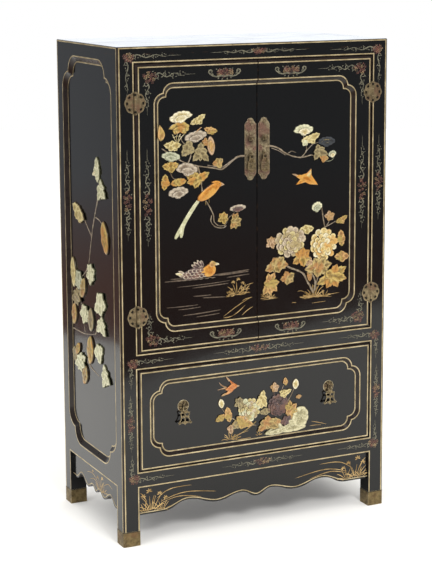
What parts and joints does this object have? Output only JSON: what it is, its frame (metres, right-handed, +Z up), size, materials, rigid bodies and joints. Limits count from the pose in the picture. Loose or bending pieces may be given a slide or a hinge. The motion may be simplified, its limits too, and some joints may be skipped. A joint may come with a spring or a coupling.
{
  "type": "cabinet on stand",
  "caption": "Black lacquered cabinet on square legs: paired hinged doors with lock plates and drop pulls over a deep drawer, cusped sunk panels, scalloped aprons and brass foot caps.",
  "frame": {"origin": "middle of the case footprint, on the floor", "axes": "+Z up from the floor, +X to the right seen from the front, +Y from the doors to the back"},
  "size_m": [0.736, 0.4158, 1.22],
  "materials": {
    "black_lacquer": "gloss black lacquer over hardwood",
    "inner_lacquer": "satin black-brown lacquer",
    "back_lacquer": "satin black lacquer",
    "antique_brass": "aged brass",
    "foot_cap_brass": "aged brass sheet",
    "gold_lacquer": "gold dusted lacquer lines",
    "painted_lacquer": "oil painted sprays on lacquer",
    "hardstone": "polished carved hardstone inlay"
  },
  "bodies": {
    "case": {"back_board": "back_lacquer", "back_bottom_rail": "back_lacquer", "back_left_post": "black_lacquer", "back_right_post": "black_lacquer", "back_top_rail": "back_lacquer", "bottom_board": "inner_lacquer", "divider_board": "inner_lacquer", "divider_ledger": "inner_lacquer", "door_stop": "inner_lacquer", "drawer_runners": "inner_lacquer", "foot_caps": "foot_cap_brass", "front_apron": "black_lacquer", "front_bottom_rail": "black_lacquer", "front_left_post": "black_lacquer", "front_middle_rail": "black_lacquer", "front_right_post": "black_lacquer", "front_top_rail": "black_lacquer", "hinge_pins": "antique_brass", "left_apron": "black_lacquer", "left_post_hinge_leaves": "antique_brass", "left_side_bottom_rail": "black_lacquer", "left_side_moulding": "black_lacquer", "left_side_panel": "black_lacquer", "left_side_top_rail": "black_lacquer", "right_apron": "black_lacquer", "right_post_hinge_leaves": "antique_brass", "right_side_bottom_rail": "black_lacquer", "right_side_moulding": "black_lacquer", "right_side_panel": "black_lacquer", "right_side_top_rail": "black_lacquer", "shelf": "inner_lacquer", "shelf_cleats": "inner_lacquer", "top_board": "black_lacquer"},
    "left_door": {"left_door_board": "black_lacquer", "left_door_border": "black_lacquer", "left_door_hinge_leaves": "antique_brass", "left_lock_plate": "antique_brass", "left_lock_post": "antique_brass", "left_pull_staple": "antique_brass"},
    "right_door": {"right_door_board": "black_lacquer", "right_door_border": "black_lacquer", "right_door_hinge_leaves": "antique_brass", "right_lock_plate": "antique_brass", "right_lock_post": "antique_brass", "right_pull_staple": "antique_brass"},
    "drawer": {"drawer_back": "inner_lacquer", "drawer_bottom": "inner_lacquer", "drawer_front_board": "black_lacquer", "drawer_front_border": "black_lacquer", "drawer_left_side": "inner_lacquer", "drawer_pull_rosettes": "antique_brass", "drawer_pull_staples": "antique_brass", "drawer_right_side": "inner_lacquer"},
    "left_door_pull": {"left_drop_pull": "antique_brass"},
    "right_door_pull": {"right_drop_pull": "antique_brass"},
    "left_drawer_pull": {"drawer_left_pull": "antique_brass"},
    "right_drawer_pull": {"drawer_right_pull": "antique_brass"}
  },
  "joints": [
    {"name": "left_door_hinge", "type": "hinge", "parent": "case", "child": "left_door", "pos_m": [-0.3235, -0.2065, 0.83], "axis": [0, 0, -1], "range_deg": [0, 170]},
    {"name": "right_door_hinge", "type": "hinge", "parent": "case", "child": "right_door", "pos_m": [0.3235, -0.2065, 0.83], "axis": [0, 0, 1], "range_deg": [0, 170]},
    {"name": "drawer_slide", "type": "slide", "parent": "case", "child": "drawer", "axis": [0, -1, 0], "range_m": [0, 0.28]},
    {"name": "left_door_pull_swing", "type": "hinge", "parent": "left_door", "child": "left_door_pull", "pos_m": [-0.0185, -0.2071, 0.95], "axis": [-1, 0, 0], "range_deg": [0, 85]},
    {"name": "right_door_pull_swing", "type": "hinge", "parent": "right_door", "child": "right_door_pull", "pos_m": [0.0185, -0.2071, 0.95], "axis": [-1, 0, 0], "range_deg": [0, 85]},
    {"name": "left_drawer_pull_swing", "type": "hinge", "parent": "drawer", "child": "left_drawer_pull", "pos_m": [-0.204, -0.209, 0.3385], "axis": [-1, 0, 0], "range_deg": [0, 85]},
    {"name": "right_drawer_pull_swing", "type": "hinge", "parent": "drawer", "child": "right_drawer_pull", "pos_m": [0.204, -0.209, 0.3385], "axis": [-1, 0, 0], "range_deg": [0, 85]}
  ]
}
